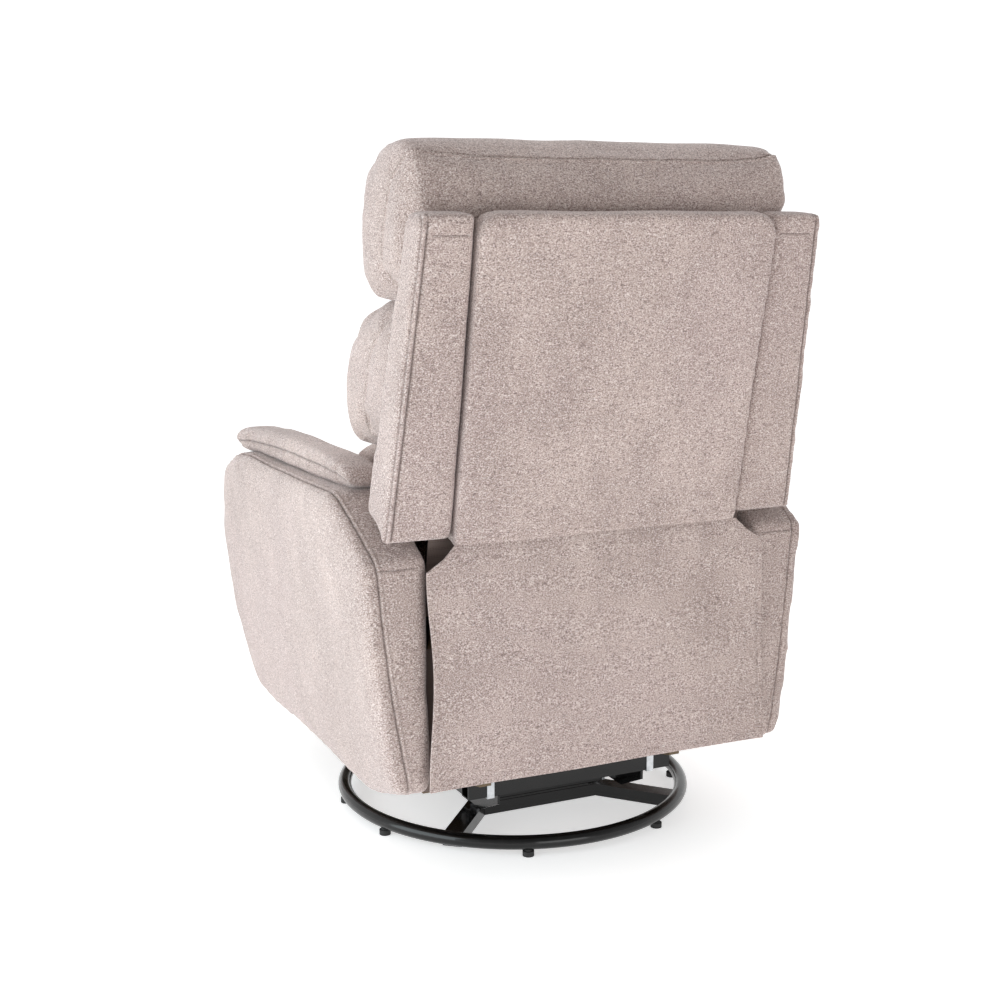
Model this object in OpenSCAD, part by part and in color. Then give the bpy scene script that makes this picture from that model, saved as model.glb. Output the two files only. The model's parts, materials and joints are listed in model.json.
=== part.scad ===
// Upholstered swivel glider chair with a reclining back and a fold-out footrest.
// +Z is up, the chair faces -Y, and +X is the sitter's left.
// The origin is on the floor, under the middle of the chair's overall box.

/* [Swivel base] */
// Distance of the swivel axis behind the origin
swivel_y = 70; // [50:1:90]
// Radius of the floor ring's centre line
ring_r = 283; // [270:1:300]
// Diameter of the ring tube
ring_tube_d = 22; // [18:1:25]
// Height of the rubber feet
foot_h = 10; // [6:1:14]
// Width of the rectangular spokes
spoke_w = 30; // [24:1:36]
// Height of the rectangular spokes
spoke_h = 20; // [16:1:24]
// Distance of a spoke's cross run from the swivel axis
spoke_run_y = 92; // [84:1:98]

/* [Glide] */
// Distance between the upper and lower pivots of a glide link
glide_len = 145; // [120:1:160]
// Half of the front-to-back spacing of the glide links
glide_half_y = 97; // [92:1:104]
// Height of the lower glide pivots
glide_low_z = 52; // [50:1:60]
// Distance of the glide posts' inner faces from the centre plane
post_x = 112; // [108:1:114]

/* [Seat] */
// Half of the seat width between the arms
seat_half_w = 272; // [260:1:285]
// Top of the seat cushion
seat_top_z = 470; // [450:1:490]
// Underside of the seat cushion
seat_low_z = 352; // [352:1:370]
// Front of the seat cushion
seat_front_y = -440; // [-450:1:-430]

/* [Arms] */
// Outer face of the arm at its rear edge, 460 mm above the floor
arm_out_x = 371; // [362:1:374]
// Inward turn of the outer face towards the front, in degrees
arm_toe = 1.4; // [0:0.1:1.6]
// Outer face of the arm pad
pad_out_x = 342; // [335:1:346]

/* [Back] */
// Lean of the back from the vertical, in degrees
back_lean = 11.2; // [8:0.1:14]
// Height of the rear panel
panel_h = 474; // [460:1:480]
// Half width of the rear panel
panel_half_w = 234; // [230:1:236]
// Half width of the head pillow
head_half_w = 302; // [295:1:306]
// Half width of the middle pillow
mid_half_w = 292; // [285:1:298]
// Half width of the lumbar pillow
lumbar_half_w = 266; // [258:1:268]

/* [Footrest] */
// Length of the crank between its first two pivots
crank_len = 175; // [165:1:180]
// Length of the crank beyond its second pivot
crank_tip = 55; // [50:1:60]
// Length of the long links ahead of the crank
reach_len = 236; // [225:1:240]
// Angle of the folded crank below the forward direction, in degrees
crank_fold = -123; // [-125:1:-120]
// Constant slope of the long links, in degrees
reach_slope = 17; // [15:1:19]

/* [Hidden] */
$fn = 48;

fabric = "#b8a69b";
black_steel = "#16161a";
zinc = "#b4b8bc";
timber = "#c79a63";
rubber = "#2a2a2c";
wire = "#8d9196";

run_gap = 0.05;
open_gap = 0.4;
tube_r = ring_tube_d / 2;
ring_z = foot_h + tube_r;
ring_seam = 46.8;
foot_angles = [-13, 19, 69, 118];
spoke_top = 28;
plate_t = 4;
race_in = 50;
race_out = 78;
ball_r = 4;
ball_count = 16;
ball_z = spoke_top + plate_t + 6.5;
ball_ring_r = (race_in + race_out) / 2;
king_r = 8;
turntable_z = spoke_top + plate_t + 14;
channel_low = 34.5;
channel_high = 60;
channel_w = 26;
glide_high_z = glide_low_z + glide_len;
post_t = 5;
link_x = post_x + post_t + 2;
link_t = 4;
link_w = 28;
bolt_r = 5;
rail_x = link_x + link_t + 2;
cross_y = 200;
cross_low = 82;
cross_d = 25;
cross_half = 178;
beam_x = 165;
box_low = 125;
side_t = 18;
side_x = seat_half_w - side_t;
plate_x = side_x - plate_t;
layer = 5;
link1_x = plate_x - layer;
link2_x = link1_x - layer;
link3_x = link2_x - layer;
bar_t = 4;
bar_w = 24;
pin_r = 4;
tube_out = 9.5;
lever_x = 358;
recline_pin_r = 6;

// Side-plane points are [y, z]. Footrest points are worked out in [forward, up].
crank_at = [-240, 318];
recline_at = [265, 315];
function polar(r, a) = [r * cos(a), r * sin(a)];
function fold(v) = [crank_at[0] - v[0], crank_at[1] + v[1]];
tail_v = polar(-crank_tip, reach_slope);
knee_v = polar(crank_len, crank_fold);
tip_v = polar(crank_len + crank_tip, crank_fold);
reach_v = polar(reach_len, reach_slope);
guide_at = fold(tail_v);
knee = fold(knee_v);
tip = fold(tip_v);
guide_end = fold(knee_v + tail_v);
board_high = fold(knee_v + reach_v);
board_low = fold(tip_v + reach_v);

back_base = [362, 496];
wing_depth_low = 84;
wing_depth_high = 59;
panel_bulge = 8;
function on_back(s, n) = [back_base[0] + s * sin(back_lean) + n * cos(back_lean),
    back_base[1] + s * cos(back_lean) - n * sin(back_lean)];
// Rear face of the pillows, just ahead of the wings' sloping front edges
function pillow_rear(s) = on_back(s, -wing_depth_low - 2.2 + (wing_depth_low - wing_depth_high) * s / 467);

arm_profile = [[-392, 88], [-426, 141], [-463, 228], [-462, 400], [-401, 521], [-331, 549],
    [-255, 558], [13, 561], [216, 565], [288, 530], [363, 485], [365, 400], [368, 300], [373, 200],
    [374, 139], [232, 94]];
// Outer face of the arm's cross-section, as [distance beyond arm_out_x, height]
arm_flare = [[-51, 80], [-42, 136], [-31.5, 200], [-23.5, 250], [-16.5, 300], [-10.5, 350],
    [-5.5, 400], [0, 460], [4, 520], [6, 570]];
pad_profile = [[-331, 549], [-362, 560], [-365, 572], [-335, 586], [-270, 591], [-98, 600],
    [148, 597], [205, 587], [226, 574], [216, 565], [13, 561], [-255, 558]];
head_profile = [[221, 838], [178, 866], [176, 938], [203, 1021], [257, 1055], [320, 1062], [372, 1049],
    [390, 1008], pillow_rear(479), pillow_rear(355)];
mid_profile = [[108, 614], [82, 629], [67, 661], [72, 690], [88, 745], [109, 780], [149, 815], [216, 836],
    pillow_rear(345), pillow_rear(130)];
lumbar_profile = [[62, 480], [24, 515], [12, 556], [36, 596], [92, 612],
    pillow_rear(115), pillow_rear(-22)];
wing_profile = [[6, 0], [26, -44], [31, -wing_depth_low], [49, -81], [467, -wing_depth_high], [panel_h, 0]];

module along_x(x0, x1, at, r) {
    translate([x0, at[0], at[1]]) rotate([0, 90, 0]) cylinder(h = x1 - x0, r = r);
}

module side_slab(x0, x1, outline) {
    translate([x0, 0, 0]) rotate([90, 0, 90]) linear_extrude(height = x1 - x0) polygon(outline);
}

module box(low, high) {
    translate(low) cube(high - low);
}

module both_sides() {
    children();
    mirror([1, 0, 0]) children();
}

// Outline of a bar with round ends of radius r about two points
function bar_outline(a, b, r, steps = 12) =
    let (turn = atan2(b[1] - a[1], b[0] - a[0]))
    concat([for (i = [0:steps]) a + polar(r, turn + 90 + i * 180 / steps)],
        [for (i = [0:steps]) b + polar(r, turn - 90 + i * 180 / steps)]);

// Flat bar in a side plane with round ends at two pivots
module flat_bar(x0, x1, a, b, w) {
    side_slab(x0, x1, bar_outline(a, b, w / 2));
}

module half_ring(start) {
    color(black_steel) translate([0, swivel_y, ring_z]) rotate([0, 0, start])
        rotate_extrude(angle = 180, $fn = 96) translate([ring_r, 0]) circle(r = tube_r, $fn = 32);
}

module ring_left() { half_ring(ring_seam - 180); }
module ring_right() { half_ring(ring_seam); }

module ring_feet() {
    color(rubber) translate([0, swivel_y, 0]) for (a = foot_angles, b = [0, 180])
        rotate([0, 0, a + b]) translate([ring_r, 0, 0]) {
            cylinder(h = foot_h - 2, r = 9);
            difference() {
                cylinder(h = foot_h + 3, r = 6);
                translate([0, 0, foot_h + tube_r]) rotate([90, 0, 0])
                    cylinder(h = 30, r = tube_r + 0.2, center = true);
            }
        }
}

module spider(side) {
    inner = ring_r * cos(45);
    run = 108;
    half = spoke_w / 2;
    path = [[-inner, inner - spoke_run_y], [-run, 0], [run, 0], [inner, inner - spoke_run_y]];
    color(black_steel) translate([0, swivel_y, 0]) rotate([0, 0, side > 0 ? 0 : 180])
        difference() {
            translate([0, spoke_run_y, spoke_top - spoke_h]) for (i = [0:2]) {
                a = path[i];
                d = path[i + 1] - a;
                translate([a[0], a[1], 0]) {
                    rotate([0, 0, atan2(d[1], d[0])]) translate([0, -half, 0]) cube([norm(d), spoke_w, spoke_h]);
                    if (i > 0) cylinder(h = spoke_h, r = half + 0.5);
                }
            }
            translate([0, 0, ring_z]) rotate_extrude($fn = 96) translate([ring_r, 0])
                circle(r = tube_r + 0.1, $fn = 32);
        }
}

module spider_front() { spider(-1); }
module spider_rear() { spider(1); }

module base_plate() {
    color(black_steel) difference() {
        box([-88, swivel_y - 106, spoke_top], [88, swivel_y + 106, spoke_top + plate_t]);
        translate([0, swivel_y, spoke_top - 1]) cylinder(h = plate_t + 2, r = king_r);
    }
}

module race(low, high) {
    difference() {
        translate([0, swivel_y, low]) rotate_extrude($fn = 72)
            translate([race_in, 0]) square([race_out - race_in, high - low]);
        translate([0, swivel_y, ball_z]) rotate_extrude($fn = 72)
            translate([ball_ring_r, 0]) circle(r = ball_r + run_gap, $fn = 32);
    }
}

module lower_race() { color(zinc) race(spoke_top + plate_t, ball_z - 0.8); }
module upper_race() { color(zinc) race(ball_z + 0.8, turntable_z); }

module bearing_balls() {
    color("silver") translate([0, swivel_y, ball_z]) for (i = [0:ball_count - 1])
        rotate([0, 0, i * 360 / ball_count]) translate([ball_ring_r, 0, 0]) sphere(r = ball_r, $fn = 24);
}

module king_bolt() {
    color(zinc) translate([0, swivel_y, 0]) {
        translate([0, 0, spoke_top - 9]) cylinder(h = 9, r = 13, $fn = 6);
        translate([0, 0, spoke_top]) cylinder(h = turntable_z + plate_t + 14 - spoke_top, r = king_r);
    }
}

module king_nut() {
    color(zinc) translate([0, swivel_y, turntable_z + plate_t + 0.3]) difference() {
        cylinder(h = 11, r = 13, $fn = 6);
        translate([0, 0, -1]) cylinder(h = 14, r = king_r);
    }
}

module turntable_plate() {
    color(black_steel) difference() {
        box([-100, swivel_y - 84, turntable_z], [100, swivel_y + 84, turntable_z + plate_t]);
        translate([0, swivel_y, turntable_z - 1]) cylinder(h = plate_t + 2, r = king_r + run_gap);
    }
}

// Pair of channels, open upwards, across the turntable
module glide_channels() {
    wall = 3;
    color(black_steel) for (side = [-1, 1]) {
        y = swivel_y + side * glide_half_y;
        difference() {
            box([-post_x, y - channel_w / 2, channel_low], [post_x, y + channel_w / 2, channel_high]);
            box([-post_x - 1, y - channel_w / 2 + wall, channel_low + wall],
                [post_x + 1, y + channel_w / 2 - wall, channel_high + 1]);
        }
    }
}

module glide_posts() {
    color(zinc) both_sides() for (side = [-1, 1]) {
        y = swivel_y + side * glide_half_y;
        difference() {
            union() {
                box([post_x, y - 13, channel_low], [post_x + post_t, y + 13, glide_high_z]);
                along_x(post_x, post_x + post_t, [y, glide_high_z], 13);
            }
            along_x(post_x - 1, post_x + post_t + 1, [y, glide_high_z], bolt_r);
        }
    }
}

module glide_pin_row(z, x0, x1, head_x, head_t) {
    color(zinc) both_sides() for (side = [-1, 1]) {
        at = [swivel_y + side * glide_half_y, z];
        along_x(x0, x1, at, bolt_r);
        along_x(head_x, head_x + head_t, at, 9);
    }
}

module upper_pivot_bolts() { glide_pin_row(glide_high_z, post_x, link_x + link_t + 0.5, link_x + link_t + 0.5, 5); }
module lower_pivot_bolts() { glide_pin_row(glide_low_z, link_x - 0.4, rail_x + link_t, rail_x + link_t, 5); }

module glide_links(side, low_gap) {
    y = swivel_y + side * glide_half_y;
    color(zinc) both_sides() difference() {
        flat_bar(link_x, link_x + link_t, [y, glide_low_z], [y, glide_high_z], link_w);
        along_x(link_x - 1, link_x + link_t + 1, [y, glide_high_z], bolt_r + run_gap);
        along_x(link_x - 1, link_x + link_t + 1, [y, glide_low_z], bolt_r + low_gap);
    }
}

module glide_links_front() { glide_links(-1, open_gap); }
module glide_links_rear() { glide_links(1, run_gap); }

module glide_rails() {
    outline = [[-150, 38], [150, 38], [213, 68], [213, cross_low], [187, cross_low], [140, 66],
        [-140, 66], [-187, cross_low], [-213, cross_low], [-213, 68]];
    moved = [for (p = outline) [p[0] + swivel_y, p[1]]];
    color(black_steel) both_sides() difference() {
        side_slab(rail_x, rail_x + link_t, moved);
        for (side = [-1, 1]) along_x(rail_x - 1, rail_x + link_t + 1,
            [swivel_y + side * glide_half_y, glide_low_z], bolt_r);
    }
}

module cross_tubes() {
    wall = 2;
    color(black_steel) for (side = [-1, 1]) {
        y = swivel_y + side * cross_y;
        difference() {
            box([-cross_half, y - cross_d / 2, cross_low], [cross_half, y + cross_d / 2, cross_low + cross_d]);
            box([-cross_half - 1, y - cross_d / 2 + wall, cross_low + wall],
                [cross_half + 1, y + cross_d / 2 - wall, cross_low + cross_d - wall]);
        }
    }
}

// Bent straps that hold the cross tubes on the glide rails
module tube_clips() {
    grip = 2;
    clip_w = 12;
    x0 = rail_x + link_t + 6;
    color(zinc) both_sides() for (side = [-1, 1]) {
        y = swivel_y + side * cross_y;
        translate([x0, 0, 0]) difference() {
            box([0, y - cross_d / 2 - grip, cross_low - grip],
                [clip_w, y + cross_d / 2 + grip, cross_low + cross_d + grip]);
            box([-1, y - cross_d / 2, cross_low], [clip_w + 1, y + cross_d / 2, cross_low + cross_d]);
        }
    }
}

// Fore-and-aft beams on the cross tubes, each with a strut up to the front stretcher
module seat_beams() {
    base = cross_low + cross_d;
    outline = [[-145, base], [285, base], [318, base + 8], [318, box_low], [-57, box_low], [-57, 225],
        [-75, 225], [-75, box_low], [-145, box_low]];
    color(timber) both_sides() side_slab(beam_x - 9, beam_x + 9, outline);
}

module stretcher_front() { color(timber) box([-side_x, -75, 225], [side_x, -57, 265]); }
module stretcher_rear() { color(timber) box([-side_x, 300, box_low], [side_x, 318, box_low + 40]); }

// The right side board lets the torque tube through
module seat_sides() {
    outline = [[-370, 200], [-330, box_low], [330, box_low], [330, 210], [300, 345], [-370, 345]];
    color(timber) difference() {
        both_sides() side_slab(side_x, seat_half_w, outline);
        both_sides() along_x(side_x - 1, seat_half_w + 1, crank_at, tube_out + 3);
        both_sides() along_x(side_x - 1, side_x + 8, guide_at, 10);
        both_sides() along_x(side_x - 1, side_x + 8, recline_at, 12);
    }
}

module spring_rails() {
    color(timber) for (y = [-360, 222]) box([-side_x, y, 322], [side_x, y + 24, 348]);
}

// Sinuous springs, a zigzag of straight wires from rail to rail
module seat_springs() {
    y0 = -336;
    y1 = 222;
    turns = 10;
    half = 22;
    wire_r = 1.8;
    step = (y1 - y0) / turns;
    color(wire) for (k = [-2:2]) translate([k * 90, 0, 344]) {
        for (i = [0:turns - 1]) {
            y = y0 + i * step;
            side = i % 2 == 0 ? 1 : -1;
            translate([-half, y + step / 2, 0]) rotate([0, 90, 0]) cylinder(h = 2 * half, r = wire_r, $fn = 16);
            if (i < turns - 1) translate([side * half, y + step / 2, 0]) rotate([-90, 0, 0])
                cylinder(h = step, r = wire_r, $fn = 16);
        }
        for (end = [[y0, half * -1], [y1 - step / 2, half * -1]]) translate([end[1], end[0], 0])
            rotate([-90, 0, 0]) cylinder(h = step / 2, r = wire_r, $fn = 16);
    }
}

module seat_cushion() {
    outline = [[seat_front_y + 14, seat_low_z], [seat_front_y, seat_low_z + 16], [seat_front_y, seat_top_z - 32],
        [seat_front_y + 36, seat_top_z], [180, seat_top_z], [222, seat_top_z - 20], [222, seat_low_z]];
    color(fabric) side_slab(-seat_half_w + 3, seat_half_w - 3, outline);
}

module mechanism_plates() {
    outline = [[-275, 296], [-245, 284], [-165, 284], [-120, 298], [240, 298], [262, 294], [288, 305],
        [288, 326], [272, 338], [256, 338], [248, 321.5], [218, 321.5], [208, 338], [-262, 338], [-275, 328]];
    color(black_steel) both_sides() difference() {
        side_slab(plate_x, side_x, outline);
        along_x(plate_x - 1, side_x + 1, crank_at, tube_out + run_gap);
        along_x(plate_x - 1, side_x + 1, guide_at, pin_r);
        along_x(plate_x - 1, side_x + 1, recline_at, recline_pin_r);
    }
}

module plate_pins() {
    color(zinc) both_sides() {
        along_x(link1_x - 0.8, side_x + 1, guide_at, pin_r);
        along_x(side_x, side_x + 4, guide_at, 8);
    }
}

module recline_pins() {
    color(zinc) both_sides() {
        along_x(link1_x - 3, side_x + 1, recline_at, recline_pin_r);
        along_x(link1_x - 7, link1_x - 1, recline_at, 10);
        along_x(side_x, side_x + 5, recline_at, 10);
    }
}

// Torsion spring around the torque tube, one closed coil swept along a helix
module torsion_springs() {
    coil_r = 13;
    wire_r = 1.5;
    turns = 6;
    sides = 6;
    steps = 20;
    pitch = 4;
    count = turns * steps;
    pts = [for (i = [0:count], j = [0:sides - 1])
        let (a = i * 360 / steps, b = j * 360 / sides, r = coil_r + wire_r * cos(b))
        [i * pitch / steps + wire_r * sin(b), r * cos(a), r * sin(a)]];
    walls = [for (i = [0:count - 1], j = [0:sides - 1])
        let (k = (j + 1) % sides)
        [i * sides + j, (i + 1) * sides + j, (i + 1) * sides + k, i * sides + k]];
    first = [for (j = [0:sides - 1]) j];
    last = [for (j = [sides - 1:-1:0]) count * sides + j];
    color(wire) both_sides() translate([190, crank_at[0], crank_at[1]])
        polyhedron(points = pts, faces = concat(walls, [first], [last]));
}

module arm_frame() {
    outline = [[-400, 130], [300, 130], [330, 160], [330, 470], [280, 500], [-380, 500], [-440, 380], [-440, 235]];
    difference() {
        side_slab(seat_half_w + 2, seat_half_w + 20, outline);
        side_slab(seat_half_w + 1, seat_half_w + 21, [[-340, 205], [-100, 205], [-100, 270], [-340, 270]]);
        side_slab(seat_half_w + 1, seat_half_w + 21, [[-20, 205], [260, 205], [260, 430], [-20, 430]]);
        along_x(seat_half_w + 1, seat_half_w + 21, crank_at, tube_out + 4);
    }
}

module arm_frame_left() { color(timber) arm_frame(); }
module arm_frame_right() { color(timber) mirror([1, 0, 0]) arm_frame(); }

// Padded arm: a side outline cut by the flared outer face, hollow where its frame sits
module arm() {
    section = concat([[200, 80]], [for (p = arm_flare) [arm_out_x + p[0], p[1]]], [[200, 570]]);
    pocket = [[-401, 129], [300, 129], [331, 159], [331, 471], [280, 501], [-381, 501], [-441, 381], [-441, 234]];
    difference() {
        intersection() {
            side_slab(seat_half_w, arm_out_x + 30, arm_profile);
            translate([0, 350, 0]) rotate([0, 0, -arm_toe]) translate([0, 100, 0]) rotate([90, 0, 0])
                linear_extrude(height = 1000) polygon(section);
        }
        side_slab(seat_half_w + 1.7, seat_half_w + 20.3, pocket);
    }
}

module arm_left() { color(fabric) arm(); }

module arm_right() {
    color(fabric) difference() {
        mirror([1, 0, 0]) arm();
        along_x(-arm_out_x - 30, -seat_half_w + 5, crank_at, tube_out + 3);
    }
}

module arm_pad() {
    side_slab(seat_half_w + 4, pad_out_x, pad_profile);
}

module arm_pad_left() { color(fabric) arm_pad(); }
module arm_pad_right() { color(fabric) mirror([1, 0, 0]) arm_pad(); }

// Fabric curtain below the rear panel, with its upper corners cut off
module rear_flap() {
    low = 141;
    outline = [[-285, 6], [285, 6], [282, 324], [235, 353], [-235, 353], [-282, 324]];
    color(fabric) translate([0, 383, low]) rotate([92, 0, 0]) linear_extrude(height = 3) polygon(outline);
}

module recline_arms() {
    foot = on_back(-95, -50);
    head = on_back(0, -50);
    color(black_steel) both_sides() difference() {
        union() {
            flat_bar(link1_x, link1_x + bar_t, recline_at, foot, 34);
            flat_bar(link1_x, link1_x + bar_t, foot, head, 30);
        }
        along_x(link1_x - 1, link1_x + bar_t + 1, recline_at, recline_pin_r + run_gap);
    }
}

// Places children so that local Z runs up the back and local Y points out of its rear face
module back_place() {
    translate([0, back_base[0], back_base[1]]) rotate([-back_lean, 0, 0]) children();
}

// Posts that are wider below the wings, where the recline arms bolt on, and three rails between them
module back_frame() {
    post_in = 218;
    post = [[post_in, -118], [link1_x - 0.2, -118], [link1_x - 0.2, 18], [panel_half_w + 2.5, 18],
        [panel_half_w + 2.5, 440], [post_in, 440]];
    color(timber) back_place() {
        both_sides() translate([0, -30, 0]) rotate([90, 0, 0]) linear_extrude(height = 26) polygon(post);
        for (s = [-12, 210, 405]) box([0.1 - post_in, -56, s], [post_in - 0.1, -30, s + 35]);
    }
}

module back_webbing() {
    color("#6d655f") back_place() for (i = [0:5])
        box([-215, -59.5, 35 + i * 66], [215, -56.5, 35 + i * 66 + 45]);
}

module back_panel() {
    color(fabric) back_place() difference() {
        box([-panel_half_w, -28, 0], [panel_half_w, panel_bulge, panel_h]);
        both_sides() translate([panel_half_w - 30, -29, panel_h - 30]) difference() {
            cube([31, 40, 31]);
            rotate([-90, 0, 0]) cylinder(h = 40, r = 30);
        }
    }
}

module wing() {
    edge_low = 343;
    edge_high = 317;
    inner = panel_half_w + 3;
    face = [[inner, 0], [edge_low, 0], [edge_high, panel_h], [inner, panel_h]];
    back_place() intersection() {
        side_slab(inner, edge_low, [for (p = wing_profile) [p[1], p[0]]]);
        translate([0, 1, 0]) rotate([90, 0, 0]) linear_extrude(height = wing_depth_low + 2) polygon(face);
    }
}

module wing_left() { color(fabric) wing(); }
module wing_right() { color(fabric) mirror([1, 0, 0]) wing(); }

module head_pillow() { color(fabric) side_slab(-head_half_w, head_half_w, head_profile); }
module mid_pillow() { color(fabric) side_slab(-mid_half_w, mid_half_w, mid_profile); }
module lumbar_pillow() { color(fabric) side_slab(-lumbar_half_w, lumbar_half_w, lumbar_profile); }

module torque_tube() {
    bore = 7.5;
    color(black_steel) difference() {
        along_x(-lever_x, side_x - 0.2, crank_at, tube_out);
        along_x(-lever_x - 1, side_x + 1, crank_at, bore);
    }
}

module crank_links() {
    color(black_steel) both_sides() difference() {
        flat_bar(link1_x, link1_x + bar_t, crank_at, tip, bar_w);
        along_x(link1_x - 1, link1_x + bar_t + 1, crank_at, tube_out);
        for (p = [knee, tip]) along_x(link1_x - 1, link1_x + bar_t + 1, p, pin_r);
    }
}

module crank_pins() {
    color(zinc) both_sides() for (p = [knee, tip]) {
        along_x(link2_x - 0.4, link1_x + bar_t + 0.5, p, pin_r);
        along_x(link1_x + bar_t, link1_x + bar_t + 0.7, p, 7);
    }
}

module release_lever() {
    grip_end = fold(polar(92, 15));
    color(black_steel) difference() {
        mirror([1, 0, 0]) {
            flat_bar(lever_x, lever_x + 6, crank_at, grip_end, 22);
            along_x(lever_x - 4, lever_x + 6, crank_at, 14);
        }
        along_x(-lever_x - 2, -lever_x + 5, crank_at, tube_out);
    }
}

module lever_grip() {
    start = fold(polar(70, 15));
    end = fold(polar(150, 15));
    color(timber) mirror([1, 0, 0]) flat_bar(lever_x + 6.2, lever_x + 14, start, end, 26);
}

module guide_links() {
    color(black_steel) both_sides() difference() {
        flat_bar(link1_x, link1_x + bar_t, guide_at, guide_end, bar_w - 4);
        along_x(link1_x - 1, link1_x + bar_t + 1, guide_at, pin_r + run_gap);
        along_x(link1_x - 1, link1_x + bar_t + 1, guide_end, pin_r);
    }
}

module guide_pins() {
    color(zinc) both_sides() {
        along_x(link2_x - 0.4, link1_x + bar_t + 0.5, guide_end, pin_r);
        along_x(link1_x + bar_t, link1_x + bar_t + 0.7, guide_end, 7);
    }
}

module upper_reach_links() {
    color(black_steel) both_sides() difference() {
        flat_bar(link2_x, link2_x + bar_t, guide_end, board_high, bar_w - 2);
        along_x(link2_x - 1, link2_x + bar_t + 1, guide_end, pin_r + open_gap);
        for (p = [knee, board_high]) along_x(link2_x - 1, link2_x + bar_t + 1, p, pin_r + run_gap);
    }
}

module lower_reach_links() {
    color(black_steel) both_sides() difference() {
        flat_bar(link2_x, link2_x + bar_t, tip, board_low, bar_w - 4);
        along_x(link2_x - 1, link2_x + bar_t + 1, tip, pin_r + run_gap);
        along_x(link2_x - 1, link2_x + bar_t + 1, board_low, pin_r + open_gap);
    }
}

// Brackets on the footrest board, with a pin for each reach link
module footrest_brackets() {
    board_y = -372;
    flange = [[board_y, 150], [board_y, 300], [board_y + 12, 300], [board_high[0] + 10, board_high[1] + 14],
        [board_low[0] + 12, board_low[1] + 4], [board_low[0] + 4, board_low[1] - 12], [board_y + 12, 150]];
    color(black_steel) both_sides() {
        side_slab(link3_x, link3_x + bar_t, flange);
        box([link3_x - 26, board_y, 150], [link3_x, board_y + 3, 300]);
        for (p = [board_high, board_low]) along_x(link3_x + 1, link2_x + bar_t + 0.4, p, pin_r);
    }
}

module footrest_board() {
    half = link3_x - 0.1;
    color(timber) box([-half, -384, 112], [half, -372.1, 335]);
}

module footrest_pad() {
    outline = [[-384.1, 100], [-420, 95], [-440, 112], [-444, 220], [-440, 330], [-424, 345], [-384.1, 345]];
    color(fabric) side_slab(-262, 262, outline);
}

ring_left();
ring_right();
ring_feet();
spider_front();
spider_rear();
base_plate();
lower_race();
bearing_balls();
king_bolt();
king_nut();
upper_race();
turntable_plate();
glide_channels();
glide_posts();
upper_pivot_bolts();
glide_links_front();
glide_links_rear();
lower_pivot_bolts();
glide_rails();
cross_tubes();
tube_clips();
seat_beams();
seat_sides();
stretcher_front();
stretcher_rear();
spring_rails();
seat_springs();
seat_cushion();
mechanism_plates();
plate_pins();
recline_pins();
torsion_springs();
arm_frame_left();
arm_frame_right();
arm_left();
arm_right();
arm_pad_left();
arm_pad_right();
rear_flap();
recline_arms();
back_frame();
back_webbing();
back_panel();
wing_left();
wing_right();
head_pillow();
mid_pillow();
lumbar_pillow();
torque_tube();
crank_links();
crank_pins();
release_lever();
lever_grip();
guide_links();
guide_pins();
upper_reach_links();
lower_reach_links();
footrest_brackets();
footrest_board();
footrest_pad();
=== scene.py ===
"""Swivel glider chair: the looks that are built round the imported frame."""

import json
import logging
import math
from dataclasses import dataclass, field
from enum import Enum
from typing import Callable, Optional, Sequence

import bpy
import numpy as np
from mathutils import Matrix, Vector
from mathutils.bvhtree import BVHTree


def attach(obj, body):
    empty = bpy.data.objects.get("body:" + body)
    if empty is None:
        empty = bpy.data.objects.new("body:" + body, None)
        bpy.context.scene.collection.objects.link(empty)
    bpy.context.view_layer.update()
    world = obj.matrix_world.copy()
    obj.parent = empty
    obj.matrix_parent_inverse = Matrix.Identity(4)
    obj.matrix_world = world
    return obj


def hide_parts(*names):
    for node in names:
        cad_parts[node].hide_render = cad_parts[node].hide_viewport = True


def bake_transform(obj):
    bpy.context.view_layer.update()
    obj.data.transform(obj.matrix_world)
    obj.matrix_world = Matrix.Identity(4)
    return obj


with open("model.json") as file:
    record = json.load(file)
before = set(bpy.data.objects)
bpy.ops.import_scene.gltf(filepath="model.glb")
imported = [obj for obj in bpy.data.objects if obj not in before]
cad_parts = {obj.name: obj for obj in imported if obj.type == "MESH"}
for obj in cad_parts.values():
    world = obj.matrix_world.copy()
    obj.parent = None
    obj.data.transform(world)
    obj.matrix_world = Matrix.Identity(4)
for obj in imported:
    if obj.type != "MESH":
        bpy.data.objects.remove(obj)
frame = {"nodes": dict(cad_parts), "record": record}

logging.basicConfig(level=logging.INFO, format="%(asctime)s %(levelname)s %(message)s")
LOG = logging.getLogger("glider")

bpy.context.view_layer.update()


class Side(Enum):
    """The sitter's left or right, as the sign of X."""

    LEFT = 1
    RIGHT = -1


# ---------------------------------------------------------------- shader building


class Signal:
    """A number in a shader, which takes part in Python arithmetic."""

    def __init__(self, bench: "Bench", socket: bpy.types.NodeSocket) -> None:
        """Wraps one output socket of a node in the bench's tree."""
        self.bench = bench
        self.socket = socket

    def _with(self, operation: str, first: object, second: object) -> "Signal":
        """Adds a Math node on two values or links."""
        return self.bench.maths(operation, first, second)

    def __add__(self, other: object) -> "Signal":
        """Sum."""
        return self._with("ADD", self, other)

    def __radd__(self, other: object) -> "Signal":
        """Sum with a number on the left."""
        return self._with("ADD", other, self)

    def __sub__(self, other: object) -> "Signal":
        """Difference."""
        return self._with("SUBTRACT", self, other)

    def __rsub__(self, other: object) -> "Signal":
        """Difference from a number on the left."""
        return self._with("SUBTRACT", other, self)

    def __mul__(self, other: object) -> "Signal":
        """Product."""
        return self._with("MULTIPLY", self, other)

    def __rmul__(self, other: object) -> "Signal":
        """Product with a number on the left."""
        return self._with("MULTIPLY", other, self)


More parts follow.
